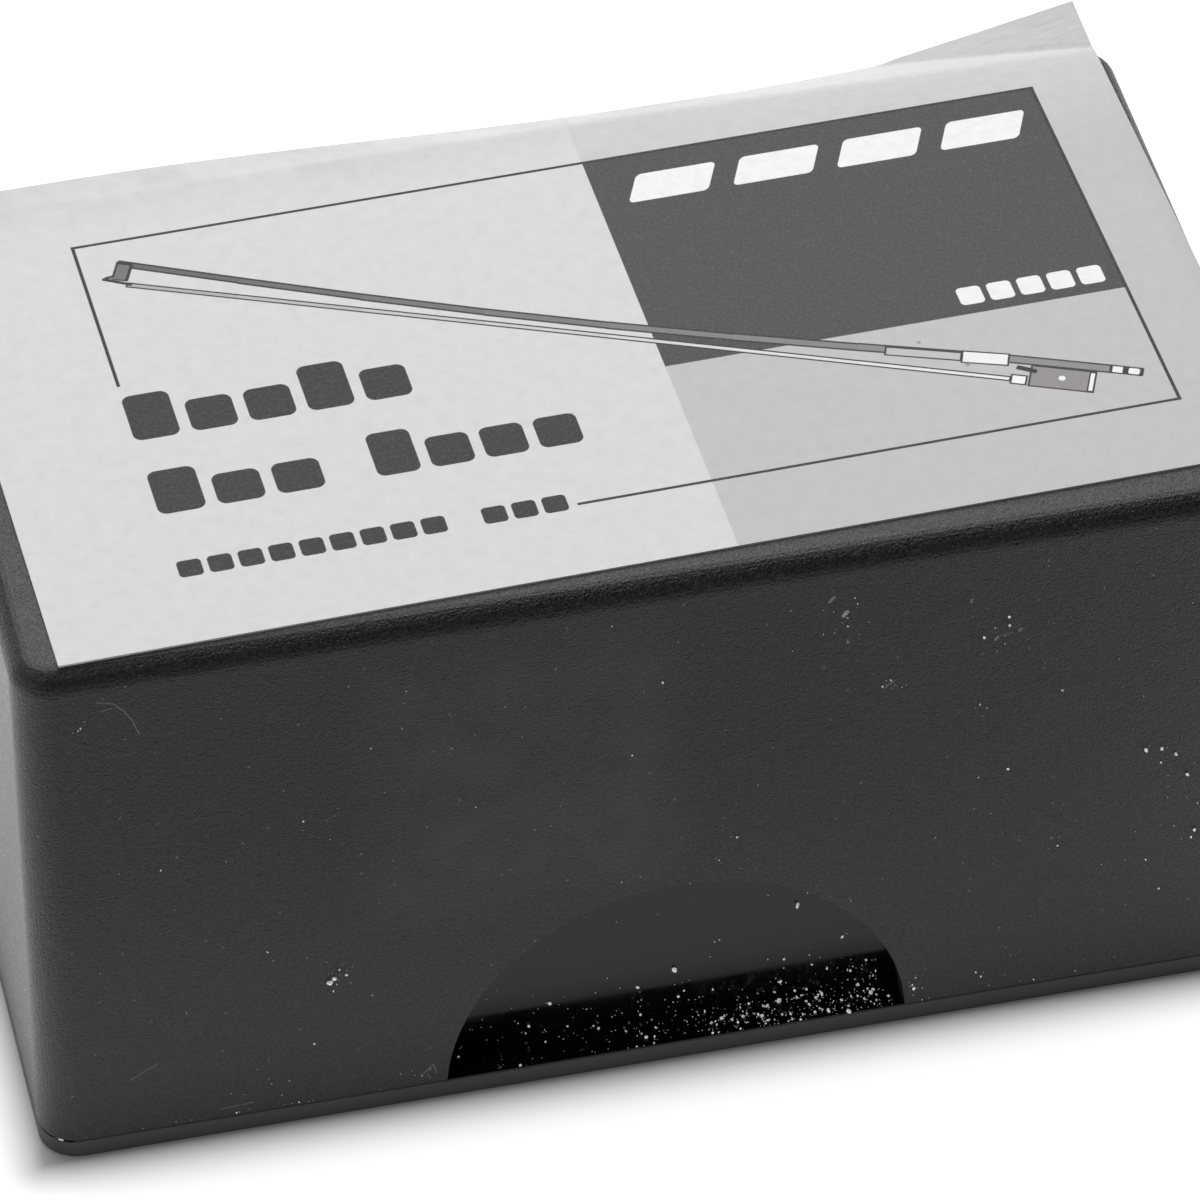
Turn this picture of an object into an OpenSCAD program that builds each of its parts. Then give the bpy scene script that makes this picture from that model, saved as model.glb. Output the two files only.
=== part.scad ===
// Pocket case of bow rosin: a lift-off lid stands on a flanged tray, and the tray
// holds a cast block of rosin in a cloth liner. The lid's roof carries a paper label.
// Millimetres, +Z up. The origin is the middle of the tray's underside, and -Y is the front.

/* [Case] */
// Length of the lid and the flange, left to right
case_l = 64; // [58:1:72]
// Depth of the lid and the flange, front to back
case_d = 36; // [33:1:42]
// Height from the ground to the lid's roof
case_h = 33; // [30:1:38]
// Radius of the four upright corners
corner_r = 2; // [1.6:0.1:3]
// Chamfer on the two edges that meet at the seam
seam_edge = 0.06; // [0.03:0.01:0.15]

/* [Lid] */
// Thickness of the lid's walls and roof
lid_t = 1.5; // [1.2:0.1:1.8]
// Radius of the rounding between the roof and the walls
edge_r = 1.25; // [0.8:0.05:1.4]
// Radius of the thumb notches in the front and rear walls
notch_r = 12; // [9:0.5:12.5]
// Height of the notches' centre above the ground
notch_z = 0.5; // [0:0.25:2]
// How far the notches sit to the right of the middle
notch_x = 0.7; // [0:0.1:2]

/* [Tray] */
// Thickness of the flange and the tray's floor
flange_t = 1.25; // [1:0.05:2]
// Radius of the flange's lower edge
foot_r = 0.3; // [0.1:0.05:0.5]
// Gap between the lid's wall and the tray's wall
side_gap = 0.57; // [0.4:0.01:0.8]
// Thickness of the tray's walls
tray_t = 1.2; // [1:0.1:1.5]
// Height of the tray's rim above the ground
tray_h = 18; // [15:0.5:20]
// Distance between the two guide ribs on each end of the tray
rib_pitch = 18; // [12:1:22]
// Width of a guide rib
rib_w = 1.2; // [0.8:0.1:2]

/* [Rosin and cloth] */
// Height of the rosin's top face above the ground
rosin_top = 25; // [22:0.5:26]
// Radius of the rosin's top edges
rosin_edge_r = 0.7; // [0.4:0.1:0.9]
// Thickness of the cloth liner
cloth_t = 1; // [0.6:0.1:1.2]
// How far the cloth's hems stand above the tray's rim
hem_h = 1.5; // [0.5:0.25:2.5]

/* [Label] */
// Length of the paper label
label_l = 62; // [50:0.1:62.4]
// Depth of the paper label
label_d = 35.7; // [30:0.1:38]
// Left edge of the label, from the middle of the roof
label_left = -30.2; // [-31:0.1:-25]
// Front edge of the label, from the middle of the roof
label_front = -16.3; // [-17:0.1:-13]
// Angle that the label is stuck on at
label_skew = 1.7; // [0:0.1:2]
// Thickness of the label
label_t = 0.12; // [0.1:0.01:0.2]

/* [Hidden] */
$fn = 96;
hull_fn = 48;                              // facets round a rounded block's corners
edge_steps = 8;                            // steps over a rounded block's top edge
slip = 0.1;                                // air at a sliding or loose face
end_gap = 0.7;                             // air between the rosin and the tray's ends
rosin_corner_r = 1.5;
rosin_foot = 0.4;                          // chamfer round the rosin's foot
ledge = lid_t + side_gap;                  // flange's rim to the tray's wall
tray_l = case_l - 2 * ledge;
tray_d = case_d - 2 * ledge;
tray_corner_r = 1.2;
pocket_l = tray_l - 2 * tray_t;
pocket_d = tray_d - 2 * tray_t;
rosin_l = pocket_l - 2 * end_gap;
rosin_d = pocket_d - 2 * (cloth_t + 2 * slip);
rosin_z = flange_t + cloth_t;
flap_d = rosin_d + 2 * slip + 2 * cloth_t; // outside of the cloth's two flaps

// Outline of a box seen from above, l by d with rounded corners
module plan(l, d, r) {
    square([l - 2 * r, d], center = true);
    square([l, d - 2 * r], center = true);
    for (x = [-1, 1], y = [-1, 1])
        translate([x * (l / 2 - r), y * (d / 2 - r)]) circle(r);
}

// Half outline of a corner post with radius r and height h: its lower edge is a chamfer
// of size c, and its top edge is an arc of radius e
function post_outline(r, h, e, c) = concat(
    [[0, 0], [r - c, 0], [r, c]],
    [for (i = [0 : edge_steps]) let (a = 90 * i / edge_steps)
        [r - e + e * cos(a), h - e + e * sin(a)]],
    [[0, h]]);

// Solid block, l by d by h, with upright corners of radius r, top edges of radius e and
// lower edges with a chamfer of size c
module rounded_block(l, d, h, r, e, c) {
    hull()
        for (x = [-1, 1], y = [-1, 1])
            translate([x * (l / 2 - r), y * (d / 2 - r), 0])
                rotate_extrude($fn = hull_fn) polygon(post_outline(r, h, e, c));
}

// Ribs that steady the lid on the tray's two ends
module guide_ribs() {
    rib_x = tray_l / 2 - tray_t / 2;
    rib_out = tray_t / 2 + side_gap - slip;
    for (side = [-1, 1], y = [-1, 1])
        translate([side * (rib_x + rib_out / 2), y * rib_pitch / 2, (flange_t + tray_h) / 2])
            cube([rib_out, rib_w, tray_h - flange_t - 2], center = true);
}

// Flange, floor, upright walls and guide ribs in one moulding
module base_tray() {
    color("#2c2c2e") {
        difference() {
            union() {
                translate([0, 0, flange_t]) mirror([0, 0, 1])
                    rounded_block(case_l, case_d, flange_t, corner_r, foot_r, seam_edge);
                linear_extrude(tray_h) plan(tray_l, tray_d, tray_corner_r);
            }
            translate([0, 0, flange_t])
                linear_extrude(tray_h) plan(pocket_l, pocket_d, tray_corner_r / 2);
        }
        guide_ribs();
    }
}

// Cloth under the rosin and up its two long sides
module cloth_liner() {
    color("#5a1f2b")
        difference() {
            translate([-rosin_l / 2, -flap_d / 2, flange_t])
                cube([rosin_l, flap_d, tray_h + hem_h - flange_t]);
            translate([-rosin_l, -flap_d / 2 + cloth_t, rosin_z])
                cube([2 * rosin_l, flap_d - 2 * cloth_t, case_h]);
        }
}

// Cast block of rosin
module rosin_cake() {
    color("#b3641c")
        translate([0, 0, rosin_z])
            rounded_block(rosin_l, rosin_d, rosin_top - rosin_z, rosin_corner_r, rosin_edge_r,
                rosin_foot);
}

// Cover with four walls, a roof and a thumb notch front and rear
module lid() {
    color("#434346")
        difference() {
            translate([0, 0, flange_t])
                rounded_block(case_l, case_d, case_h - flange_t, corner_r, edge_r, seam_edge);
            linear_extrude(case_h - lid_t)
                plan(case_l - 2 * lid_t, case_d - 2 * lid_t, corner_r - lid_t);
            translate([notch_x, 0, notch_z])
                rotate([90, 0, 0]) cylinder(h = 2 * case_d, r = notch_r, center = true);
        }
}

// Paper label on the roof, a little askew and overhanging the rear edge
module label() {
    color("#d8d8d6")
        rotate([0, 0, label_skew])
            translate([label_left, label_front, case_h])
                cube([label_l, label_d, label_t]);
}

base_tray();
cloth_liner();
rosin_cake();
lid();
label();
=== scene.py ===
"""Looks of a boxed rosin cake: a grained lid with a skewed paper label stands on a glossy tray,
and the tray holds a cast amber block in a cloth liner. Lengths are millimetres until MM turns
them into metres. Only the floor's and the lights' own sizes and places are written in metres."""

import math
import random

import bmesh
import bpy
from mathutils import Matrix, Vector, noise


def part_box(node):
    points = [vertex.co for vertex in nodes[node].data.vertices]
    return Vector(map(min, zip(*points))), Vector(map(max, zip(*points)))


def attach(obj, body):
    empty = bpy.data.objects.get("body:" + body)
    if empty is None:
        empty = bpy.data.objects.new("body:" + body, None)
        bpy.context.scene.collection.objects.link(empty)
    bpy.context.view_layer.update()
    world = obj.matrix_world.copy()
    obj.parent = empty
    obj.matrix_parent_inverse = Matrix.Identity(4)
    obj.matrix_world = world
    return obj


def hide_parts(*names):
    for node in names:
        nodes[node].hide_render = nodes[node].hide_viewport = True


MM = 0.001
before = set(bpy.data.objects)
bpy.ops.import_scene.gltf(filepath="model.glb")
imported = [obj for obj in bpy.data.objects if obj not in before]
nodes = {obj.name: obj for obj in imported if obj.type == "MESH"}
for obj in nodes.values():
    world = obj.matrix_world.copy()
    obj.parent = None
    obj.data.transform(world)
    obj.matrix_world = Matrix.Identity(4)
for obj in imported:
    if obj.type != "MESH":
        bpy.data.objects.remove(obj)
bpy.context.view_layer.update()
TRAY_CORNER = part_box("base_tray")[1]


# ---------------------------------------------------------------- camera, floor and light

CAMERA_PLACE = Vector((-69.2, -302.6, 301.2)) * MM
CAMERA_AZIMUTH = 13.03
CAMERA_ELEVATION = 42.59
CAMERA_LENS = 246.7
FLOOR_HALF = 3.0
# FLOOR_FAR_COLOUR, FLOOR_FAR_GLOW and POOL_EDGE to POOL_END paint a pool of light: the floor is
# dimmer far in front of the case.
FLOOR_COLOUR = (0.50, 0.50, 0.50, 1)
FLOOR_FAR_COLOUR = (0.42, 0.42, 0.42, 1)
FLOOR_GLOW, FLOOR_FAR_GLOW, FLOOR_CONTACT_GLOW = 0.87, 0.32, 0.02
POOL_EDGE, POOL_END = 0.034, 0.085
# Painted contact shadow: the floor's glow drops to FLOOR_CONTACT_GLOW within CONTACT_REACH of the
# case.
CONTACT_REACH = 0.0038
SKY_DARK = (0.025, 0.025, 0.027, 1)
SKY_BRIGHT = (0.50, 0.503, 0.518, 1)
SKY_WAY = (-0.30, 0.80, 0.55)
SKY_START, SKY_FULL = 0.18, 0.75


def make_camera():
    """Long lens, looking down at the front and the roof."""
    data = bpy.data.cameras.new("camera")
    data.lens = CAMERA_LENS
    camera = bpy.data.objects.new("camera", data)
    camera.location = CAMERA_PLACE
    camera.rotation_euler = (
        math.radians(90 - CAMERA_ELEVATION),
        0,
        math.radians(-CAMERA_AZIMUTH),
    )
    bpy.context.scene.collection.objects.link(camera)
    bpy.context.scene.camera = camera


make_camera()


# ---------------------------------------------------------------- node helpers


class Shade:
    """One node material, with short calls that add a node and return its output."""

    def __init__(self, name, tree=None):
        self.material = None
        if tree is None:
            self.material = bpy.data.materials.new(name)
            self.material.use_nodes = True
            tree = self.material.node_tree
            self.surface = tree.nodes["Principled BSDF"]
        self.tree = tree

    def feed(self, socket, value):
        if isinstance(value, bpy.types.NodeSocket):
            self.tree.links.new(value, socket)
        else:
            socket.default_value = value

    def node(self, kind, inputs=(), **settings):
        made = self.tree.nodes.new(kind)
        for key, value in settings.items():
            setattr(made, key, value)
        for key, value in dict(inputs).items():
            self.feed(made.inputs[key], value)
        return made

    def math(self, operation, a, b=0.0, c=0.0):
        made = self.node("ShaderNodeMath", {0: a, 1: b, 2: c}, operation=operation)
        return made.outputs[0]

    def vector(self, operation, a, b=(0, 0, 0), scale=1.0):
        made = self.node("ShaderNodeVectorMath", {0: a, 1: b}, operation=operation)
        if operation == "SCALE":
            self.feed(made.inputs["Scale"], scale)
        single = operation in ("DOT_PRODUCT", "LENGTH")
        return made.outputs["Value" if single else "Vector"]

    def ramp(self, value, low, high, out_low=0.0, out_high=1.0):
        """value's stretch from low to high, mapped smoothly to out_low to out_high."""
        inputs = {"Value": value, "From Min": low, "From Max": high}
        inputs.update({"To Min": out_low, "To Max": out_high})
        made = self.node("ShaderNodeMapRange", inputs, interpolation_type="SMOOTHSTEP")
        return made.outputs["Result"]

    def mix(self, factor, a, b):
        made = self.node("ShaderNodeMix", data_type="RGBA")
        self.feed(made.inputs[0], factor)
        self.feed(made.inputs[6], a)
        self.feed(made.inputs[7], b)
        return made.outputs[2]

    def noise(self, where, scale, detail=2.0, roughness=0.5):
        inputs = {"Vector": where, "Scale": scale, "Detail": detail, "Roughness": roughness}
        return self.node("ShaderNodeTexNoise", inputs).outputs["Fac"]

    def specks(self, where, scale, share, size):
        """Round specks: 1 inside a speck and 0 elsewhere. share is the part of cells with one."""
        cells = self.node("ShaderNodeTexVoronoi", {"Vector": where, "Scale": scale})
        chance = self.node("ShaderNodeSeparateColor", {0: cells.outputs["Color"]})
        chosen = self.math("LESS_THAN", chance.outputs[0], share)
        radius = self.math("MULTIPLY", chance.outputs[1], size)
        near = self.math("LESS_THAN", cells.outputs["Distance"], radius)
        return self.math("MULTIPLY", chosen, near)

    def place(self):
        """The point's place in the object, in millimetres."""
        where = self.node("ShaderNodeTexCoord").outputs["Object"]
        return self.vector("SCALE", where, scale=1 / MM)

    def split(self, where):
        return self.node("ShaderNodeSeparateXYZ", {0: where}).outputs

    def bump(self, height, depth_mm, strength):
        inputs = {"Height": height, "Distance": depth_mm * MM, "Strength": strength}
        return self.node("ShaderNodeBump", inputs).outputs["Normal"]

    def finish(self, **sockets):
        for key, value in sockets.items():
            self.feed(self.surface.inputs[key.replace("_", " ")], value)
        return self.material


def grey(value, blue=0.0):
    return (value, value, value + blue, 1)


# ---------------------------------------------------------------- floor and light


def make_floor():
    """Pale sheet that glows as if lit from below. A painted pool of light dims its glow and
    colour far in front, and a painted contact shadow dims its glow close beside the case.
    """
    shade = Shade("floor")
    where = shade.node("ShaderNodeTexCoord").outputs["Object"]
    # Painted pool of light: glow and colour fall off far in front of the case.
    ahead = shade.math("MULTIPLY", shade.split(where)[1], -1)
    far = shade.ramp(ahead, POOL_EDGE, POOL_END)
    # Painted contact shadow: the glow falls off close beside the case's footprint.
    foot = (TRAY_CORNER.x, TRAY_CORNER.y, 0)
    away = shade.vector("SUBTRACT", shade.vector("ABSOLUTE", where), foot)
    gap = shade.vector("LENGTH", shade.vector("MAXIMUM", away, (0, 0, 0)))
    short = shade.math("SUBTRACT", 1.0, shade.math("DIVIDE", gap, CONTACT_REACH))
    short = shade.math("MAXIMUM", short, 0.0)
    painted_contact_shadow = shade.math("MULTIPLY", short, short)
    glow = shade.ramp(far, 0.0, 1.0, FLOOR_GLOW, FLOOR_FAR_GLOW)
    lost = shade.math("MULTIPLY", painted_contact_shadow, FLOOR_GLOW - FLOOR_CONTACT_GLOW)
    material = shade.finish(
        Base_Color=shade.mix(far, FLOOR_COLOUR, FLOOR_FAR_COLOUR),
        Roughness=0.8,
        Specular_IOR_Level=0.1,
        Emission_Color=(1, 1, 1, 1),
        Emission_Strength=shade.math("SUBTRACT", glow, lost),
    )
    mesh = bpy.data.meshes.new("floor")
    corners = [(-1, -1), (1, -1), (1, 1), (-1, 1)]
    mesh.from_pydata([(x * FLOOR_HALF, y * FLOOR_HALF, 0) for x, y in corners], [], [range(4)])
    mesh.materials.append(material)
    floor = bpy.data.objects.new("floor", mesh)
    bpy.context.scene.collection.objects.link(floor)


def make_sky():
    """A soft dome: bright behind the case, above it and to its left, dark in front."""
    world = bpy.data.worlds.new("studio")
    world.use_nodes = True
    shade = Shade("studio", world.node_tree)
    way = shade.node("ShaderNodeTexCoord").outputs["Generated"]
    reach = shade.vector("DOT_PRODUCT", way, SKY_WAY)
    glow = shade.ramp(reach, SKY_START, SKY_FULL)
    colour = shade.mix(glow, SKY_DARK, SKY_BRIGHT)
    background = world.node_tree.nodes["Background"]
    shade.feed(background.inputs["Color"], colour)
    bpy.context.scene.world = world


def make_lamp(name, place, width, height, power):
    """A softbox at place, turned towards the case."""
    data = bpy.data.lights.new(name, "AREA")
    data.shape = "RECTANGLE"
    data.size = width
    data.size_y = height
    data.energy = power
    lamp = bpy.data.objects.new(name, data)
    lamp.location = place
    lamp.rotation_euler = (-Vector(place)).to_track_quat("-Z", "Y").to_euler()
    bpy.context.scene.collection.objects.link(lamp)


make_floor()
make_sky()
make_lamp("back_softbox", (0.081, 0.350, 0.554), 0.62, 0.85, 5.0)
make_lamp("fill_softbox", (-0.55, -0.32, 0.42), 0.12, 0.12, 1.2)
bpy.context.scene.view_settings.view_transform = "Standard"


# ---------------------------------------------------------------- sizes from the frame

lid_low, lid_high = (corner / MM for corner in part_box("lid"))
rosin_low, rosin_high = (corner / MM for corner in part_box("rosin_cake"))

HALF_LENGTH = lid_high.x
HALF_DEPTH = lid_high.y
ROOF = lid_high.z
SEAM = lid_low.z
EDGE_RADIUS = 1.25
LEDGE = 2.07
NOTCH_RADIUS = 12.0
NOTCH_X = 0.7
NOTCH_Z = 0.5
PAPER = 0.12
LID_IOR = 1.37
TRAY_IOR = 1.375
TRAY_WALL = 1.2
TRAY_RIM = (TRAY_CORNER / MM).z
LABEL_SKEW = math.radians(1.7)
LABEL_LEFT, LABEL_FRONT = -30.2, -16.3
LABEL_RIGHT, LABEL_BACK = 31.60, 19.4

# Scratches on the lid's front: the points (x, z) of each, its half width and its strength.
SCUFFS = (
    (((-28.1, 31.1), (-27.3, 30.9), (-26.8, 30.3), (-26.4, 29.6), (-26.1, 28.6)), 0.04, 0.32),
    (((-27.9, 30.5), (-27.3, 30.6)), 0.03, 0.30),
    (((8.8, 29.0), (9.1, 29.4)), 0.12, 0.90),
    (((8.1, 30.1), (8.4, 30.5)), 0.08, 0.55),
    (((9.1, 27.2), (9.1, 27.5)), 0.05, 0.50),
    (((15.3, 28.6), (15.4, 28.9)), 0.06, 0.50),
    (((16.6, 25.8), (16.8, 26.1)), 0.06, 0.55),
    (((16.9, 26.1), (17.5, 26.2)), 0.03, 0.35),
    (((17.8, 26.2), (18.0, 26.4)), 0.08, 0.45),
    (((15.9, 25.0), (16.1, 25.1)), 0.05, 0.35),
    (((11.0, 23.8), (11.6, 24.2)), 0.05, 0.35),
    (((-27.5, 5.0), (-26.0, 5.9)), 0.03, 0.35),
    (((-23.0, 1.9), (-21.2, 2.0)), 0.03, 0.35),
    (((-12.6, 1.9), (-12.0, 2.6), (-11.8, 1.9)), 0.03, 0.40),
)


# ---------------------------------------------------------------- strokes

STROKE_SOFT = 0.025
BLOCK_SHARE, SHORT_SHARE, BLOCK_ROUND = 0.80, 0.70, 0.16


def stroke_group():
    """Node group: 1 on a straight bar From one point To another, 0 elsewhere. Round is the
    radius of the bar's corners."""
    tree = bpy.data.node_groups.new("stroke", "ShaderNodeTree")
    sockets = [("Place", "Vector"), ("From", "Vector"), ("To", "Vector")]
    sockets += [("Half width", "Float"), ("Round", "Float")]
    for name, kind in sockets:
        tree.interface.new_socket(name, in_out="INPUT", socket_type="NodeSocket" + kind)
    tree.interface.new_socket("Ink", in_out="OUTPUT", socket_type="NodeSocketFloat")
    shade = Shade("stroke", tree)
    place, start, end, half, corner = shade.node("NodeGroupInput").outputs[:5]
    way = shade.vector("SUBTRACT", end, start)
    unit = shade.vector("NORMALIZE", way)
    middle = shade.vector("SCALE", shade.vector("ADD", start, end), scale=0.5)
    rel = shade.vector("SUBTRACT", place, middle)
    along = shade.vector("DOT_PRODUCT", rel, unit)
    across = shade.vector("SUBTRACT", rel, shade.vector("SCALE", unit, scale=along))
    reach = shade.math("MULTIPLY", shade.vector("LENGTH", way), 0.5)
    over_end = shade.math("SUBTRACT", shade.math("ABSOLUTE", along), reach)
    over_side = shade.math("SUBTRACT", shade.vector("LENGTH", across), half)
    over_end = shade.math("ADD", over_end, corner)
    over_side = shade.math("ADD", over_side, corner)
    both = shade.node("ShaderNodeCombineXYZ", {0: over_end, 1: over_side}).outputs[0]
    outer = shade.vector("LENGTH", shade.vector("MAXIMUM", both, (0, 0, 0)))
    inner = shade.math("MINIMUM", shade.math("MAXIMUM", over_end, over_side), 0.0)
    distance = shade.math("SUBTRACT", shade.math("ADD", outer, inner), corner)
    ink = shade.ramp(distance, -STROKE_SOFT, STROKE_SOFT, 1.0, 0.0)
    out = shade.node("NodeGroupOutput")
    shade.feed(out.inputs["Ink"], ink)
    return tree


STROKE = stroke_group()


class Strokes:
    """Bars laid one over another on a colour."""

    def __init__(self, shade, where, colour):
        self.shade, self.where, self.colour = shade, where, colour

    def bar(self, tone, start, end, half, corner=0.0, share=1.0):
        """A bar from start to end, two points of the plane or of space in millimetres."""
        points = [tuple(point) + (0,) * (3 - len(point)) for point in (start, end)]
        made = self.shade.node("ShaderNodeGroup", node_tree=STROKE)
        values = [self.where, *points, half, corner]
        for socket, value in zip(made.inputs, values):
            self.shade.feed(socket, value)
        ink = made.outputs["Ink"]
        if share != 1.0:
            ink = self.shade.math("MULTIPLY", ink, share)
        self.colour = self.shade.mix(ink, self.colour, tone)

    def block(self, tone, left, low, right, high, corner=0.0):
        middle = (low + high) / 2
        self.bar(tone, (left, middle), (right, middle), (high - low) / 2, corner)

    def words(self, tone, pattern, left, low, pitch, height):
        """Plain blocks in place of text: t is a tall block, x a short one, a space a gap."""
        for i, kind in enumerate(pattern):
            if kind != " ":
                at = left + i * pitch
                top = low + height * (1.0 if kind == "t" else SHORT_SHARE)
                self.block(tone, at, low, at + BLOCK_SHARE * pitch, top, BLOCK_ROUND * pitch)

    def path(self, tone, points, half, share):
        for start, end in zip(points, points[1:]):
            self.bar(tone, start, end, half, half, share)


# ---------------------------------------------------------------- lid

LID_GRAIN_DEPTH = 0.10
WORN_CENTRE = (-7, -HALF_DEPTH, 22)
WORN_HALF = (5, 1, 6)
WORN_FADE = 5.0
# Height at which the painted reflection that lightens the walls near the seam has faded out.
PAINTED_LIGHT_TOP = 24.0


def box_mask(shade, where, centre, half, soft):
    """1 inside a box round centre with the half sizes in half, fading over soft outside it."""
    away = shade.vector("ABSOLUTE", shade.vector("SUBTRACT", where, centre))
    over = shade.vector("MAXIMUM", shade.vector("SUBTRACT", away, half), (0, 0, 0))
    return shade.ramp(shade.vector("LENGTH", over), 0.0, soft, 1.0, 0.0)


def front_scuffs(shade, where, tone):
    """Light scratches and rubbed spots on the lid's front face."""
    front = -HALF_DEPTH
    marks = Strokes(shade, where, tone)
    for points, half, share in SCUFFS:
        marks.path(grey(0.30), [(x, front, z) for x, z in points], half, share)
    return marks.colour


def lid_plastic():
    """Black polystyrene with a fine spark-eroded grain, thumb-worn near the middle of the front
    and speckled with powder. A painted reflection lightens it towards the seam, and level
    surfaces are lighter."""
    shade = Shade("lid_plastic")
    where = shade.place()
    coarse = shade.noise(where, 3.6, 3.0, 0.7)
    fine = shade.noise(where, 8.5, 2.0, 0.6)
    grain = shade.math("MULTIPLY_ADD", coarse, 0.6, fine)
    wander = shade.noise(where, 0.35, 3.0, 0.6)
    worn = box_mask(shade, where, WORN_CENTRE, WORN_HALF, WORN_FADE)
    worn = shade.math("MULTIPLY", worn, shade.ramp(wander, 0.3, 0.7, 0.4, 1.0))
    normal = shade.bump(grain, LID_GRAIN_DEPTH, shade.math("MULTIPLY_ADD", worn, -0.4, 1.0))
    tone = shade.mix(wander, grey(0.0030, 0.0006), grey(0.0065, 0.0009))
    grit = shade.math("MULTIPLY", shade.ramp(coarse, 0.50, 0.72), 0.34)
    tone = shade.mix(grit, tone, grey(0.045, 0.002))
    tone = shade.mix(shade.math("MULTIPLY", worn, 0.35), tone, grey(0.026, 0.001))
    # Painted reflection: lighter towards the seam, standing in for the floor's light reflected
    # low on the walls.
    low = shade.ramp(shade.split(where)[2], SEAM, PAINTED_LIGHT_TOP, 0.60, 0.0)
    tone = shade.mix(low, tone, grey(0.040, 0.001))
    # Lighter on upward-facing surfaces, in patches.
    level = shade.split(shade.node("ShaderNodeNewGeometry").outputs["Normal"])[2]
    uneven = shade.ramp(fine, 0.35, 0.65, 0.5, 1.0)
    level_lighter = shade.math("MULTIPLY", shade.ramp(level, 0.90, 0.99), uneven)
    tone = shade.mix(level_lighter, tone, grey(0.078, 0.002))
    powder = shade.specks(where, 2.4, 0.05, 0.20)
    tone = shade.mix(shade.math("MULTIPLY", powder, 0.3), tone, grey(0.35))
    tone = front_scuffs(shade, where, tone)
    rough = shade.ramp(coarse, 0.3, 0.7, 0.25, 0.33)
    return shade.finish(Base_Color=tone, Roughness=rough, Normal=normal, IOR=LID_IOR)


# ---------------------------------------------------------------- tray

RIM_WIDTH, RIM_FADE = 0.09, 0.03


def tray_plastic():
    """The same plastic from a polished mould, powdery on the ledge and duller on the rim, where a
    painted reflection of the floor lightens its tone.
    """
    shade = Shade("tray_plastic")
    where = shade.place()
    z = shade.split(where)[2]
    smudge = shade.noise(where, 0.5, 3.0, 0.6)
    half = (HALF_LENGTH - RIM_WIDTH, HALF_DEPTH - RIM_WIDTH, 100)
    inside = box_mask(shade, where, (0, 0, 0), half, RIM_FADE)
    below = shade.ramp(z, SEAM - 0.10, SEAM - 0.08, 1.0, 0.0)
    rim = shade.math("MAXIMUM", shade.math("SUBTRACT", 1.0, inside), below)
    level = shade.split(shade.node("ShaderNodeNewGeometry").outputs["Normal"])[2]
    ledge = shade.math("MULTIPLY", shade.ramp(level, 0.6, 0.9), shade.ramp(z, 1.1, 1.2))
    low = shade.math("LESS_THAN", z, SEAM + 0.1)
    ledge = shade.math("MULTIPLY", ledge, low)
    powder = shade.specks(where, 3.5, 0.35, 0.30)
    powder = shade.math("MULTIPLY", powder, shade.ramp(shade.noise(where, 0.45), 0.42, 0.6))
    powder = shade.math("MULTIPLY", powder, shade.math("MULTIPLY_ADD", ledge, 0.4, 0.02))
    tone = shade.mix(smudge, grey(0.0030), grey(0.0048))
    # Painted reflection: the rim's lighter tone stands in for the floor reflected in it. Its
    # higher roughness is the rim's own.
    tone = shade.mix(shade.math("MULTIPLY", rim, 0.6), tone, grey(0.080))
    tone = shade.mix(powder, tone, grey(0.6))
    gloss = shade.ramp(smudge, 0.35, 0.7, 0.10, 0.19)
    rough = shade.math("MULTIPLY_ADD", rim, 0.38, gloss)
    rough = shade.math("MULTIPLY_ADD", powder, 0.5, rough)
    ripple = shade.noise(where, 0.12, 1.0)
    pits = shade.math("MULTIPLY", shade.noise(where, 7.0, 2.0, 0.6), rim)
    height = shade.math("MULTIPLY_ADD", pits, 0.4, ripple)
    normal = shade.bump(height, 0.02, 0.6)
    return shade.finish(Base_Color=tone, Roughness=rough, Normal=normal, IOR=TRAY_IOR)


# ---------------------------------------------------------------- label print

PAPER_LIGHT = (0.640, 0.640, 0.638, 1)
PAPER_SHADED = (0.500, 0.502, 0.493, 1)
# Painted light: the right half's grey lightens towards this tone at the back right.
PAPER_LIT_BACK_RIGHT = (0.625, 0.624, 0.612, 1)
PANEL = (0.057, 0.055, 0.055, 1)
INK = (0.025, 0.023, 0.025, 1)
WHITE = (0.84, 0.84, 0.84, 1)
WOOD = (0.27, 0.255, 0.25, 1)
HEAD = (0.16, 0.155, 0.15, 1)
BACK_PAPER = (0.62, 0.61, 0.58, 1)
BACK_EDGE_DARK = (0.41, 0.398, 0.36, 1)

FRAME_LEFT, FRAME_RIGHT = -23.1, 27.5
FRAME_LOW, FRAME_HIGH = -11.4, 13.8
PANEL_LEFT, PANEL_LOW = 3.5, -2.6
LINE = 0.09
MOTIF_SLANT = 0.45
MOTIF_LEFT, MOTIF_LOW = 5.0, 10.1
MOTIF_WIDTH, MOTIF_HEIGHT = 4.2, 2.1
MOTIF_PITCH, MOTIF_ROUND = 5.5, 0.3
BOW_HEAD, BOW_TAIL = Vector((-21.0, 12.0)), Vector((25.0, -8.45))
# The darker band over the label's back edge fades in between these two places.
BACK_EDGE_START, BACK_EDGE_FULL = 14.2, 18.6

# Blocks where a label carries its text: colour, pattern, left, low, pitch and height.
WORDS = (
    (INK, "txxtx", -23.2, -1.4, 2.95, 3.4),
    (INK, "txx", -23.2, -7.0, 3.0, 3.2),
    (INK, "txxx", -12.2, -7.0, 2.75, 3.2),
    (INK, "xxxxxxxxx xxx", -23.2, -11.7, 1.52, 1.7),
    (WHITE, "xxxxx", 19.1, -1.9, 1.58, 1.9),
)


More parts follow.
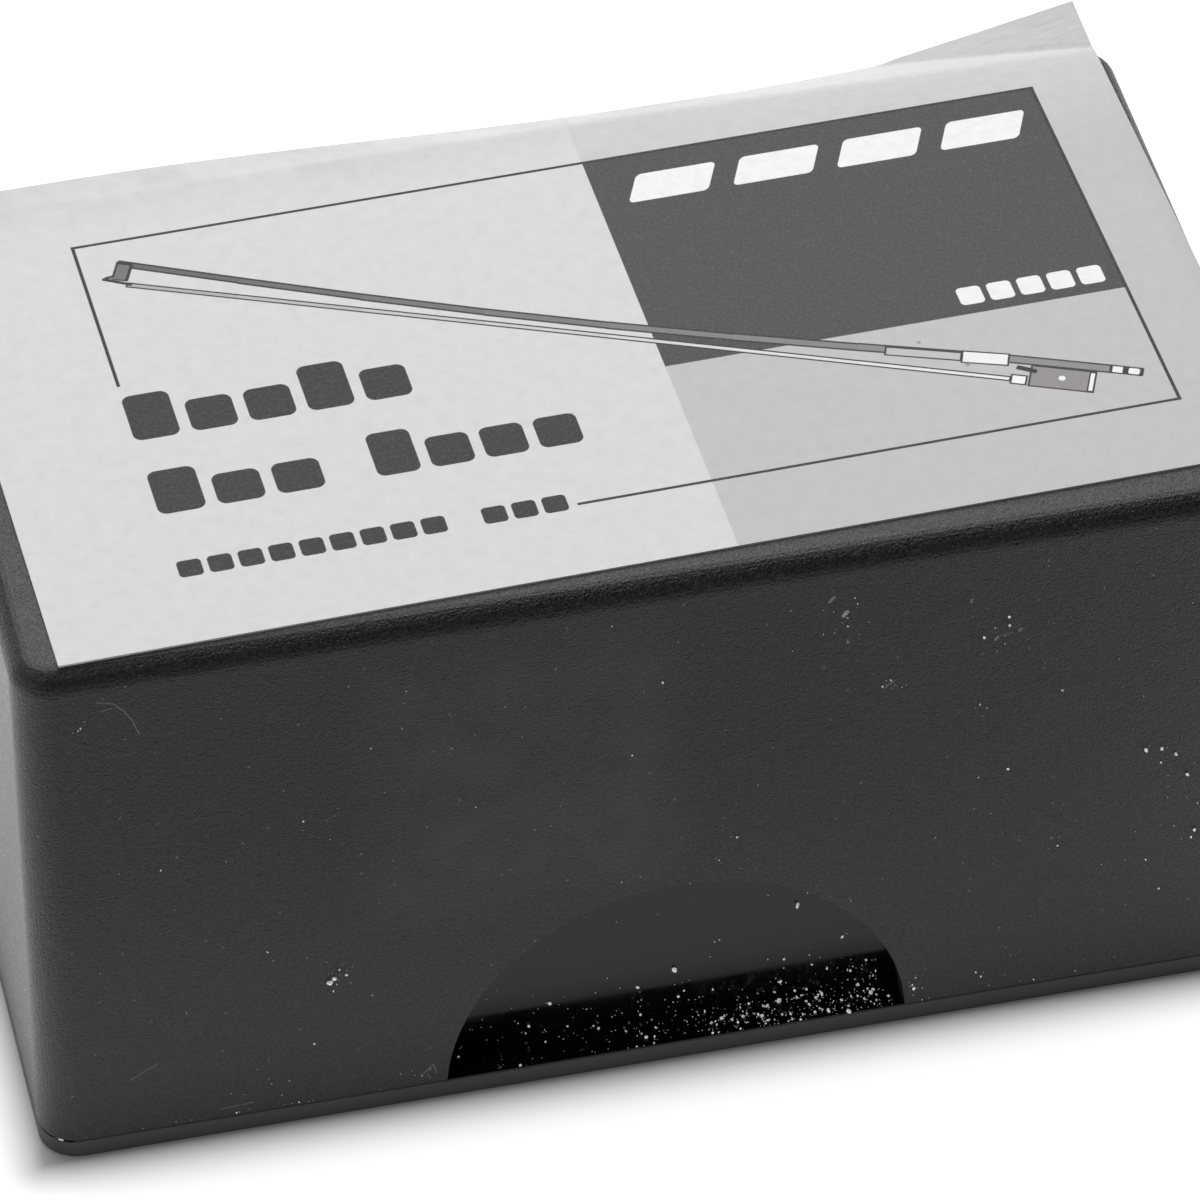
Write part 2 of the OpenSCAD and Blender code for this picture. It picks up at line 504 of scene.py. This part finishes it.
def print_frame(ink):
    """Thin frame, open at its lower left, with a dark panel in its upper right."""
    ink.block(PANEL, PANEL_LEFT, PANEL_LOW, FRAME_RIGHT, FRAME_HIGH)
    ink.bar(INK, (FRAME_LEFT, 2.8), (FRAME_LEFT, FRAME_HIGH + LINE), LINE)
    ink.bar(INK, (FRAME_LEFT - LINE, FRAME_HIGH), (FRAME_RIGHT + LINE, FRAME_HIGH), LINE)
    ink.bar(INK, (FRAME_RIGHT, FRAME_HIGH), (FRAME_RIGHT, FRAME_LOW - LINE), LINE)
    ink.bar(INK, (-3.3, FRAME_LOW), (FRAME_RIGHT + LINE, FRAME_LOW), LINE)


def print_bow(ink):
    """Line drawing of a bow, head at the upper left and button at the lower right."""
    along = (BOW_TAIL - BOW_HEAD).normalized()
    down = Vector((along.y, -along.x))
    length = (BOW_TAIL - BOW_HEAD).length

    def spot(share, drop):
        """The point at a share of the stick's length, drop millimetres under it."""
        return BOW_HEAD.lerp(BOW_TAIL, share) + down * drop

    def outlined(tone, start, end, half, line=0.10):
        """A bar with a dark outline."""
        edge = line / length
        ink.bar(INK, spot(start[0] - edge, start[1]), spot(end[0] + edge, end[1]), half + line)
        ink.bar(tone, spot(*start), spot(*end), half)

    # The stick is a shallow arc of straight pieces, and the hair is straight.
    def sag(share):
        return 0.75 * math.sin(math.pi * min(share / 0.9, 1.0))

    hair = 1.55
    steps = [i / 8 for i in range(9)]
    ink.bar(INK, spot(0.012, hair), spot(0.902, hair), 0.20)
    for a, b in zip(steps[:-1], steps[1:-1] + [0.90]):
        ink.bar(grey(0.42 + 0.45 * a), spot(max(a, 0.014), hair), spot(b, hair), 0.10)
    for a, b in zip(steps, steps[1:]):
        ink.bar(INK, spot(a - 0.003, sag(a)), spot(b + 0.003, sag(b)), 0.26 + 0.08 * a)
    for a, b in zip(steps, steps[1:]):
        wood = grey(0.12 + 0.15 * a)
        ink.bar(wood, spot(a - 0.003, sag(a)), spot(b + 0.003, sag(b)), 0.13 + 0.10 * a)
    # Head, with its point
    ink.bar(INK, spot(0.0040, -0.20), spot(0.0040, 1.30), 0.44, 0.12)
    ink.bar(INK, spot(-0.0135, 1.33), spot(0.0180, 1.50), 0.10, 0.08)
    ink.bar(INK, spot(-0.0110, 1.28), spot(0.0020, 0.86), 0.11, 0.08)
    ink.bar(HEAD, spot(0.0035, 0.05), spot(0.0035, 1.20), 0.30, 0.12)
    ink.bar(HEAD, spot(-0.0070, 1.22), spot(0.0020, 1.10), 0.07, 0.05)
    # Winding and leather
    outlined(PAPER_SHADED, (0.775, 0.45), (0.848, 0.28), 0.25)
    outlined(WHITE, (0.851, 0.27), (0.895, 0.14), 0.38)
    # Frog with its ferrule, eye and heel plate
    outlined(WOOD, (0.921, 1.15), (0.983, 1.15), 0.72)
    ink.bar(INK, spot(0.905, 0.62), spot(0.926, 0.80), 0.16, 0.1)
    ink.bar(WHITE, spot(0.948, 1.10), spot(0.955, 1.10), 0.18, 0.17)
    outlined(WHITE, (0.903, hair), (0.916, hair), 0.28)
    outlined(WHITE, (0.979, 1.15), (0.983, 1.15), 0.66, 0.08)
    # Button
    ink.bar(INK, spot(0.996, 0.0), spot(1.030, 0.0), 0.32, 0.1)
    ink.bar(WHITE, spot(0.999, 0.0), spot(1.009, 0.0), 0.22)
    ink.bar(WHITE, spot(1.015, 0.0), spot(1.026, 0.0), 0.22, 0.1)


def print_motif(ink):
    """Four slanted white blocks along the top of the dark panel."""
    shade = ink.shade
    u, v = shade.split(ink.where)[:2]
    upright = ink.where
    slanted = shade.math("MULTIPLY_ADD", v, -MOTIF_SLANT, u)
    ink.where = shade.node("ShaderNodeCombineXYZ", {0: slanted, 1: v}).outputs[0]
    left = MOTIF_LEFT - MOTIF_SLANT * MOTIF_LOW
    for _ in range(4):
        right, high = left + MOTIF_WIDTH, MOTIF_LOW + MOTIF_HEIGHT
        ink.block(WHITE, left, MOTIF_LOW, right, high, MOTIF_ROUND)
        left += MOTIF_PITCH
    ink.where = upright


def label_paper():
    """Uncoated paper, printed in two greys, black and white on its upper side, with painted light
    that lightens the right half's grey towards the back.
    """
    shade = Shade("label_paper")
    flat = shade.node("ShaderNodeUVMap", uv_map="flat").outputs["UV"]
    u, v = shade.split(flat)[:2]
    mottle = shade.noise(flat, 1.3, 4.0, 0.65)
    fibre = shade.noise(shade.vector("MULTIPLY", flat, (1.0, 2.0, 1.0)), 4.5, 3.0, 0.7)
    shaded = shade.ramp(u, PANEL_LEFT - 0.03, PANEL_LEFT + 0.03)
    # Painted light: the right half's grey lightens towards the back, over the fold and the flap.
    lit_grey_half = shade.mix(shade.ramp(v, 8.0, 20.0), PAPER_SHADED, PAPER_LIT_BACK_RIGHT)
    ink = Strokes(shade, flat, shade.mix(shaded, PAPER_LIGHT, lit_grey_half))
    print_frame(ink)
    print_bow(ink)
    for row in WORDS:
        ink.words(*row)
    print_motif(ink)
    spots = shade.specks(flat, 0.50, 0.12, 0.075)
    colour = shade.mix(shade.math("MULTIPLY", spots, 0.5), ink.colour, grey(0.14))
    fade = shade.math("MULTIPLY", shade.ramp(mottle, 0.35, 0.75), 0.10)
    colour = shade.mix(fade, colour, grey(0.34))
    grit = shade.math("MULTIPLY", shade.ramp(fibre, 0.56, 0.80), 0.16)
    colour = shade.mix(grit, colour, grey(0.32))
    screen = shade.ramp(shade.noise(flat, 6.5, 2.0, 0.7), 0.45, 0.72, 0.0, 0.08)
    colour = shade.mix(screen, colour, grey(0.48))
    blotch = shade.ramp(shade.noise(flat, 0.16, 3.0, 0.6), 0.35, 0.7, 0.2, 1.0)
    blotch = shade.math("MULTIPLY", blotch, shade.ramp(u, 4.0, 20.0, 1.0, 0.0))
    # Darker, blotchy band over the back edge where the paper bends down, fading out towards the
    # right.
    back_edge_dark = shade.math("MULTIPLY", shade.ramp(v, BACK_EDGE_START, BACK_EDGE_FULL, 0.0, 0.42), blotch)
    colour = shade.mix(back_edge_dark, colour, BACK_EDGE_DARK)
    height = shade.math("MULTIPLY_ADD", fibre, 0.8, mottle)
    crumple = shade.noise(shade.vector("MULTIPLY", flat, (0.35, 1.1, 1.0)), 1.0, 3.0, 0.6)
    by_fold = shade.math("MULTIPLY", shade.ramp(v, 13.5, 16.5), shade.ramp(u, 8.0, 20.0))
    height = shade.math("MULTIPLY_ADD", shade.math("MULTIPLY", crumple, by_fold), 6.0, height)
    normal = shade.bump(height, 0.02, 0.6)
    rough = shade.ramp(mottle, 0.3, 0.7, 0.62, 0.78)
    return shade.finish(
        Base_Color=colour, Roughness=rough, Normal=normal, Specular_IOR_Level=0.3
    )


def back_paper():
    """The unprinted underside and cut edges."""
    shade = Shade("label_back")
    where = shade.place()
    fibre = shade.noise(where, 3.0, 4.0, 0.65)
    colour = shade.mix(fibre, BACK_PAPER, (0.52, 0.50, 0.46, 1))
    return shade.finish(
        Base_Color=colour, Roughness=0.85, Normal=shade.bump(fibre, 0.01, 0.5)
    )


# ---------------------------------------------------------------- label sheet

BEND_START = HALF_DEPTH - EDGE_RADIUS
# The rear right corner stands up in FLAP_WAY along a fold between these two places of the roof.
FOLD_RIGHT = Vector((31.36, 16.9))
FOLD_LEFT = Vector((19.3, 19.96))
FLAP_WAY = Vector((0.24, 0.94, 0.235))
FLAP_CURL = 0.012
RIGHT_DROOP = 0.20
SHARP_ANGLE = 0.7
FINE_FROM = 14.5


def smooth(value, low, high):
    t = min(max((value - low) / (high - low), 0.0), 1.0)
    return t * t * (3 - 2 * t)


def bend_angle(x):
    """How far the overhang is bent down, in radians: hardly at the left, most past the middle."""
    return 0.10 + 0.46 * smooth(x, -24, 6) - 0.12 * smooth(x, 12, 24)


def bent(x, y):
    """Where the flat point (x, y) goes when the overhang bends down over the rear edge."""
    angle, past = bend_angle(x), y - BEND_START
    if past <= 0:
        return Vector((x, y, 0))
    turn = min(past / EDGE_RADIUS, angle)
    rest = past - EDGE_RADIUS * turn
    out = EDGE_RADIUS * math.sin(turn) + rest * math.cos(turn)
    drop = EDGE_RADIUS * (1 - math.cos(turn)) + rest * math.sin(turn)
    return Vector((x, BEND_START + out, -drop))


def sheet_point(u, v):
    """Underside of the label at the label's own (u, v), in the object's frame."""
    x = u * math.cos(LABEL_SKEW) - v * math.sin(LABEL_SKEW)
    y = u * math.sin(LABEL_SKEW) + v * math.cos(LABEL_SKEW)
    point = bent(x, y)
    flat_way = (FOLD_LEFT - FOLD_RIGHT).normalized()
    rel = Vector((x, y)) - FOLD_RIGHT
    along = rel.dot(flat_way)
    past = rel.x * flat_way.y - rel.y * flat_way.x
    if past > 0 and along > -2:
        low, high = bent(*FOLD_RIGHT), bent(*FOLD_LEFT)
        way = (high - low).normalized()
        up = (FLAP_WAY - way * FLAP_WAY.dot(way)).normalized()
        curl = Vector((0, 0, FLAP_CURL * past * past))
        flap = low + way * along + up * past + curl
        point = point.lerp(flap, smooth(past, 0.0, 0.5))
    droop = max(x - (HALF_LENGTH - EDGE_RADIUS), 0.0)
    point.z -= RIGHT_DROOP * droop * droop * (1 - smooth(y, 12, 16))
    point.z += ROOF
    return point


def steps_between(low, high, step):
    count = max(1, round((high - low) / step))
    return [low + (high - low) * i / count for i in range(count + 1)]


def closed_sheet(name, under, flat, thickness, materials):
    """A closed sheet over the grid of points in under, whose rows run from front to back.
    flat holds each point's place before bending. The first material is for the upper side,
    and the last for the underside and the cut edges."""
    mesh = bpy.data.meshes.new(name)
    form = bmesh.new()
    rows, columns = len(under) - 1, len(under[0]) - 1
    low = [[form.verts.new(point * MM) for point in row] for row in under]

    def lifted(i, j):
        a = low[i][min(j + 1, columns)].co - low[i][max(j - 1, 0)].co
        b = low[min(i + 1, rows)][j].co - low[max(i - 1, 0)][j].co
        return low[i][j].co + a.cross(b).normalized() * thickness * MM

    top = [[form.verts.new(lifted(i, j)) for j in range(columns + 1)] for i in range(rows + 1)]
    places = {}
    for i in range(rows + 1):
        for j in range(columns + 1):
            places[low[i][j]] = places[top[i][j]] = flat[i][j]
    sides = []
    for i in range(rows):
        for j in range(columns):
            form.faces.new((top[i][j], top[i][j + 1], top[i + 1][j + 1], top[i + 1][j]))
            sides.append((low[i][j], low[i + 1][j], low[i + 1][j + 1], low[i][j + 1]))
    rim = [(0, j) for j in range(columns)] + [(i, columns) for i in range(rows)]
    rim += [(rows, j) for j in range(columns, 0, -1)] + [(i, 0) for i in range(rows, 0, -1)]
    for (a, b), (c, d) in zip(rim, rim[1:] + rim[:1]):
        sides.append((low[a][b], low[c][d], top[c][d], top[a][b]))
    for corners in sides:
        form.faces.new(corners).material_index = len(materials) - 1
    for face in form.faces:
        face.smooth = True
    form.normal_update()
    for edge in form.edges:
        edge.smooth = edge.calc_face_angle(0.0) < SHARP_ANGLE
    layer = form.loops.layers.uv.new("flat")
    for face in form.faces:
        for loop in face.loops:
            loop[layer].uv = places[loop.vert]
    form.to_mesh(mesh)
    form.free()
    for material in materials:
        mesh.materials.append(material)
    sheet = bpy.data.objects.new(name, mesh)
    bpy.context.scene.collection.objects.link(sheet)
    return sheet


def make_label():
    us = steps_between(LABEL_LEFT, LABEL_RIGHT, 0.5)
    vs = steps_between(LABEL_FRONT, FINE_FROM, 3.0)
    vs += steps_between(FINE_FROM, LABEL_BACK, 0.14)[1:]
    under = [[sheet_point(u, v) for u in us] for v in vs]
    flat = [[(u, v) for u in us] for v in vs]
    sheet = closed_sheet("paper_label", under, flat, PAPER, [label_paper(), back_paper()])
    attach(sheet, "cover")
    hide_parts("label")


# ---------------------------------------------------------------- rosin

VOXEL = 0.4
WEAR_DEPTH, WEAR_HALF_WIDTH = 0.5, 6.5


def rosin_amber():
    """Cast amber resin, clear at the sides and rubbed powdery white along its top."""
    shade = Shade("rosin_amber")
    where = shade.place()
    y = shade.split(where)[1]
    level = shade.split(shade.node("ShaderNodeNewGeometry").outputs["Normal"])[2]
    upper = shade.ramp(level, 0.5, 0.9)
    cloud = shade.noise(where, 0.09, 4.0, 0.6)
    patch = shade.noise(where, 0.22, 4.0, 0.65)
    streak = shade.noise(shade.vector("MULTIPLY", where, (0.10, 9.0, 9.0)), 1.0, 3.0, 0.6)
    pits = shade.noise(where, 3.0, 4.0, 0.7)
    crust = shade.ramp(pits, 0.45, 0.70)
    lane = shade.ramp(shade.math("ABSOLUTE", y), 3.0, 12.0, 1.0, 0.30)
    rubbed = shade.math("MULTIPLY", shade.ramp(patch, 0.25, 0.62, 0.35, 1.0), lane)
    film = shade.math("MULTIPLY_ADD", shade.ramp(streak, 0.40, 0.66), 0.45, 0.50)
    film = shade.math("MULTIPLY_ADD", crust, 0.30, film)
    dust = shade.math("MULTIPLY", shade.math("MULTIPLY", film, rubbed), upper)
    dust = shade.math("MINIMUM", shade.math("MULTIPLY_ADD", crust, 0.03, dust), 1.0)
    amber = shade.mix(cloud, (0.56, 0.150, 0.006, 1), (0.86, 0.32, 0.025, 1))
    colour = shade.mix(shade.math("MULTIPLY", dust, 0.92), amber, (0.97, 0.91, 0.79, 1))
    rough = shade.math("MULTIPLY_ADD", dust, 0.5, shade.ramp(pits, 0.3, 0.7, 0.08, 0.2))
    clear = shade.math("MULTIPLY_ADD", dust, -0.60, 0.60)
    height = shade.math("MULTIPLY_ADD", shade.math("MULTIPLY", streak, upper), 0.5, pits)
    return shade.finish(
        Base_Color=colour,
        Roughness=rough,
        Transmission_Weight=clear,
        Subsurface_Weight=0.30,
        Subsurface_Radius=(1.0, 0.35, 0.08),
        Subsurface_Scale=0.004,
        Normal=shade.bump(height, 0.05, 0.6),
        IOR=1.54,
    )


def apply_modifiers(obj):
    graph = bpy.context.evaluated_depsgraph_get()
    mesh = bpy.data.meshes.new_from_object(obj.evaluated_get(graph))
    obj.modifiers.clear()
    obj.data = mesh


def worn_point(point):
    """A point on the cake's skin after the bow has worn a shallow lane along the top."""
    x, y, z = point
    near_top = smooth(z, rosin_high.z - 1.0, rosin_high.z - 0.1)
    lane = WEAR_DEPTH * math.exp(-((y / WEAR_HALF_WIDTH) ** 2))
    ridge = 0.05 * (noise.noise(Vector((0.05 * x, 1.6 * y, 3.0))) - 0.4)
    z -= near_top * max(lane - ridge, 0.0)
    reach = max(abs(y) / rosin_high.y, abs(x) / rosin_high.x)
    chip = noise.noise(Vector((x, y, z)) * 0.55 + Vector((7, 3, 5))) - 0.18
    bite = 0.5 * max(chip, 0.0) * near_top * smooth(reach, 0.93, 0.99)
    wave = 0.04 * (noise.noise(Vector((x, y, z)) * 0.16) - 0.6)
    pull = 1.0 + (wave - bite) / rosin_high.y
    return Vector((x * pull, y * pull, z - bite))


def make_cake():
    """The cast block: finely remeshed, worn on top, chipped along its upper edges."""
    cake = bpy.data.objects.new("amber_cake", nodes["rosin_cake"].data.copy())
    bpy.context.scene.collection.objects.link(cake)
    remesh = cake.modifiers.new("remesh", "REMESH")
    remesh.mode = "VOXEL"
    remesh.voxel_size = VOXEL * MM
    apply_modifiers(cake)
    for vertex in cake.data.vertices:
        vertex.co = worn_point(vertex.co / MM) * MM
    cake.data.materials.clear()
    cake.data.materials.append(rosin_amber())
    cake.data.shade_smooth()
    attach(cake, "base")
    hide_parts("rosin_cake")


# ---------------------------------------------------------------- cloth liner

CLOTH = 0.85
HEM = 1.4
CLOTH_BEND = 1.0
CLOTH_GAP = 0.12


def velvet():
    """Short wine-red pile, brushed unevenly, with pale lint."""
    shade = Shade("velvet")
    where = shade.place()
    pile = shade.noise(where, 5.5, 3.0, 0.7)
    brushed = shade.noise(shade.vector("MULTIPLY", where, (1, 1, 0.4)), 0.55, 3.0, 0.6)
    colour = shade.mix(brushed, (0.085, 0.006, 0.016, 1), (0.26, 0.018, 0.045, 1))
    colour = shade.mix(shade.ramp(pile, 0.55, 0.8, 0.0, 0.45), colour, (0.42, 0.06, 0.09, 1))
    lint = shade.specks(where, 1.6, 0.10, 0.16)
    colour = shade.mix(shade.math("MULTIPLY", lint, 0.7), colour, (0.8, 0.76, 0.68, 1))
    return shade.finish(
        Base_Color=colour,
        Roughness=0.95,
        Sheen_Weight=0.6,
        Sheen_Roughness=0.4,
        Sheen_Tint=(1.0, 0.55, 0.6, 1),
        Normal=shade.bump(pile, 0.12, 0.9),
    )


def liner_path():
    """The liner's outer side in the YZ plane, from the front hem down, under and up again."""
    half = HALF_DEPTH - LEDGE - TRAY_WALL - CLOTH_GAP
    floor, hem = SEAM, TRAY_RIM + HEM
    points = [Vector((-half, z)) for z in steps_between(hem, floor + CLOTH_BEND, 0.5)]
    for i in range(1, 6):
        turn = math.radians(90 * i / 6)
        centre = Vector((-half + CLOTH_BEND, floor + CLOTH_BEND))
        points.append(centre + CLOTH_BEND * Vector((-math.cos(turn), -math.sin(turn))))
    inner = half - CLOTH_BEND
    points += [Vector((y, floor)) for y in steps_between(-inner, 0, 1.5)]
    mirrored = [Vector((-p.x, p.y)) for p in points[-2::-1]]
    return points + mirrored


def make_liner():
    path = liner_path()
    length = rosin_high.x - rosin_low.x
    xs = steps_between(-length / 2, length / 2, 0.5)
    travelled = [0.0]
    for a, b in zip(path, path[1:]):
        travelled.append(travelled[-1] + (b - a).length)
    under = []
    for point in path:
        row = []
        for x in xs:
            side = 1 if point.x > 0 else -1
            rise = smooth(point.y, TRAY_RIM - 0.5, TRAY_RIM + HEM)
            wave = noise.noise(Vector((0.16 * x, 2.0 * side, 0)))
            out = side * rise * (0.10 + 0.16 * wave)
            up = rise * (0.22 * noise.noise(Vector((0.3 * x, 5.0 * side, 1))) - 0.1)
            row.append(Vector((x, point.x + out, point.y + up)))
        under.append(row)
    flat = [[(x, way) for x in xs] for way in travelled]
    liner = closed_sheet("velvet_liner", under, flat, CLOTH, [velvet()])
    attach(liner, "base")
    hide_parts("cloth_liner")


# ---------------------------------------------------------------- rosin dust

SMALLEST_GRAIN = 0.022
SMALLEST_LID_GRAIN = 0.018
HEAPS, HEAP_SPREAD = 18, 1.3
LEDGE_GRAINS, WALL_FOOT_GRAINS, REAR_LEDGE_GRAINS = 350, 120, 160
STRAYS, SEAM_STRAYS, END_STRAYS = 90, 70, 60
STRAY_REACH = 30
CAKE_GRAINS = 160


def crumb_white():
    """Pale grains of crushed rosin, with a faint painted glow standing in for the light they
    catch.
    """
    shade = Shade("crumb_white")
    where = shade.place()
    tone = shade.mix(shade.noise(where, 1.2), grey(0.80), grey(0.97))
    return shade.finish(
        Base_Color=tone,
        Roughness=shade.ramp(shade.noise(where, 8.0), 0.3, 0.7, 0.3, 0.6),
        # Painted light: the grains glow faintly, though they are no lamp, to stand in for the
        # front light they would catch.
        Emission_Color=(1, 1, 1, 1),
        Emission_Strength=0.22,
    )


def crumb_size(low, high):
    """Radius of a grain: most are small."""
    return low + (high - low) * random.random() ** 5


def make_crumbs(name, body, spots, material):
    """Angular grains, each resting on the surface at one of spots: (place, normal, radius)."""
    form = bmesh.new()
    for place, normal, radius in spots:
        made = bmesh.ops.create_icosphere(form, subdivisions=1, radius=radius * MM)["verts"]
        squash = Vector([random.uniform(0.5, 1.4) for _ in range(3)])
        turn = Matrix.Rotation(random.uniform(0, math.tau), 3, Vector((1, 2, 3)).normalized())
        for vertex in made:
            vertex.co = turn @ Vector([a * b for a, b in zip(vertex.co, squash)])
            vertex.co *= random.uniform(0.75, 1.15)
        lowest = min(vertex.co.dot(normal) for vertex in made)
        shift = place * MM - normal * (lowest + 0.15 * radius * MM)
        for vertex in made:
            vertex.co += shift
    mesh = bpy.data.meshes.new(name)
    form.to_mesh(mesh)
    form.free()
    mesh.materials.append(material)
    crumbs = bpy.data.objects.new(name, mesh)
    bpy.context.scene.collection.objects.link(crumbs)
    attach(crumbs, body)


# Larger grains on the tray's wall behind the front notch: x, z and radius.
WALL_GRAINS = (
    (7.4, 7.7, 0.16),
    (9.8, 4.8, 0.11),
    (1.0, 4.5, 0.13),
    (-0.9, 3.6, 0.13),
    (-5.5, 3.5, 0.11),
)


def ledge_spots():
    """Grains on the ledge and the wall in the two notches, thick towards the front right."""
    spots = []
    heaps = [NOTCH_X + random.uniform(-9.0, 11.2) for _ in range(HEAPS)]
    edge = HALF_DEPTH - 0.08
    wall_y = HALF_DEPTH - LEDGE
    up, ahead = Vector((0, 0, 1)), Vector((0, -1, 0))
    while len(spots) < LEDGE_GRAINS:
        strewn = random.random() < 0.45
        x = random.uniform(-11.3, 11.4) + NOTCH_X
        if not strewn:
            x = random.gauss(random.choice(heaps), HEAP_SPREAD)
        keep = 0.06 + 0.94 * smooth(x, NOTCH_X - 9, NOTCH_X + 8)
        if abs(x - NOTCH_X) > 11.5 or random.random() > keep:
            continue
        y = -edge + (LEDGE - 0.2) * random.random()
        spots.append((Vector((x, y, SEAM)), up, crumb_size(SMALLEST_GRAIN, 0.11)))
    for _ in range(WALL_FOOT_GRAINS):
        x = NOTCH_X + 11.0 * (1.0 - 2.0 * random.random() ** 1.6)
        z = SEAM + min(abs(random.gauss(0, 1.1)), 4.0)
        spots.append((Vector((x, -wall_y, z)), ahead, crumb_size(SMALLEST_GRAIN, 0.09)))
    for x, z, radius in WALL_GRAINS:
        spots.append((Vector((x, -wall_y, z)), ahead, radius))
    for side, count in ((-1, 34), (1, 20)):
        wall = Vector((0, side, 0))
        for _ in range(count):
            turn = random.uniform(0, math.pi)
            reach = 11.3 * math.sqrt(random.random())
            x, z = NOTCH_X + reach * math.cos(turn), SEAM + reach * math.sin(turn)
            spots.append((Vector((x, side * wall_y, z)), wall, crumb_size(0.02, 0.08)))
    for _ in range(REAR_LEDGE_GRAINS):
        x = random.uniform(-10.5, 10.5) + NOTCH_X
        y = edge - (LEDGE - 0.2) * random.random()
        spots.append((Vector((x, y, SEAM)), up, crumb_size(SMALLEST_GRAIN, 0.09)))
    return spots


# Where grains cluster on the lid's front: centre x, centre z, spread, count, largest grain.
CLUSTERS = (
    (-16.6, 10.0, 0.55, 16, 0.15),
    (-16.6, 10.1, 0.04, 1, 0.19),
    (-18.1, 5.5, 0.03, 2, 0.18),
    (-0.2, 26.6, 0.03, 2, 0.18),
    (-13.2, 26.3, 0.03, 2, 0.14),
    (-18.2, 21.0, 0.05, 1, 0.13),
    (-29.2, 29.5, 0.20, 3, 0.12),
    (14.4, 18.4, 0.03, 2, 0.15),
    (17.6, 16.9, 0.03, 2, 0.18),
    (16.1, 21.5, 0.30, 5, 0.12),
    (6.3, 30.0, 0.05, 1, 0.13),
    (8.7, 29.0, 0.80, 14, 0.09),
    (11.3, 24.0, 0.35, 8, 0.10),
    (16.7, 26.4, 0.90, 12, 0.09),
    (20.3, 21.8, 0.10, 2, 0.12),
    (6.8, 9.9, 0.15, 3, 0.16),
    (8.6, 9.2, 1.00, 8, 0.12),
    (9.2, 7.0, 0.30, 3, 0.13),
    (12.9, 2.6, 0.50, 26, 0.11),
    (4.0, 13.2, 1.10, 9, 0.09),
    (25.0, 16.0, 0.60, 6, 0.14),
    (26.8, 14.0, 0.70, 8, 0.10),
    (25.5, 9.3, 1.10, 10, 0.12),
    (19.6, 11.5, 0.50, 4, 0.10),
    (16.8, 2.8, 0.30, 3, 0.14),
    (-30.0, 1.9, 0.40, 5, 0.12),
    (-21.5, 2.2, 1.30, 9, 0.09),
    (-12.4, 2.0, 0.60, 9, 0.10),
)


def lid_spots():
    """Grains on the lid's four walls: clusters, a row over the seam, and strays."""
    spots = []
    top = ROOF - EDGE_RADIUS - 0.2

    def add(x, z, side, largest):
        in_notch = math.hypot(x - NOTCH_X, z - NOTCH_Z) < NOTCH_RADIUS + 0.25
        if abs(x) < HALF_LENGTH - 2.1 and SEAM + 0.15 < z < top and not in_notch:
            place = Vector((x, side * HALF_DEPTH, z))
            radius = crumb_size(SMALLEST_LID_GRAIN, largest)
            spots.append((place, Vector((0, side, 0)), radius))

    for x, z, spread, count, largest in CLUSTERS:
        for _ in range(count):
            add(random.gauss(x, spread), random.gauss(z, spread), -1, largest)
    for side in (-1, 1):
        for _ in range(STRAYS):
            x = random.uniform(-STRAY_REACH, STRAY_REACH)
            add(x, random.uniform(SEAM, top), side, 0.06)
        for _ in range(SEAM_STRAYS):
            x = random.uniform(-STRAY_REACH, STRAY_REACH)
            add(x, SEAM + abs(random.gauss(0.15, 0.15)), side, 0.05)
    for side in (-1, 1):
        for _ in range(END_STRAYS):
            y = random.uniform(-HALF_DEPTH + 2.2, HALF_DEPTH - 2.2)
            place = Vector((side * HALF_LENGTH, y, random.uniform(SEAM + 0.3, top)))
            radius = crumb_size(SMALLEST_LID_GRAIN, 0.08)
            spots.append((place, Vector((side, 0, 0)), radius))
    return spots


def cake_spots():
    """Grains lying on the worn top of the cake."""
    spots = []
    for _ in range(CAKE_GRAINS):
        x = random.uniform(rosin_low.x + 2, rosin_high.x - 2)
        y = random.uniform(rosin_low.y + 2, rosin_high.y - 2)
        point = worn_point(Vector((x, y, rosin_high.z)))
        spots.append((point, Vector((0, 0, 1)), crumb_size(0.03, 0.16)))
    return spots


def make_dust():
    material = crumb_white()
    random.seed(41)
    make_crumbs("dust_on_ledge", "base", ledge_spots(), material)
    make_crumbs("dust_on_lid", "cover", lid_spots(), material)
    make_crumbs("dust_on_cake", "base", cake_spots(), material)


# ---------------------------------------------------------------- put together


def paint(node, material):
    """The CAD node keeps its shape and gets a finished material."""
    obj = nodes[node]
    obj.data.materials.clear()
    obj.data.materials.append(material)


paint("lid", lid_plastic())
paint("base_tray", tray_plastic())
make_label()
make_cake()
make_liner()
make_dust()
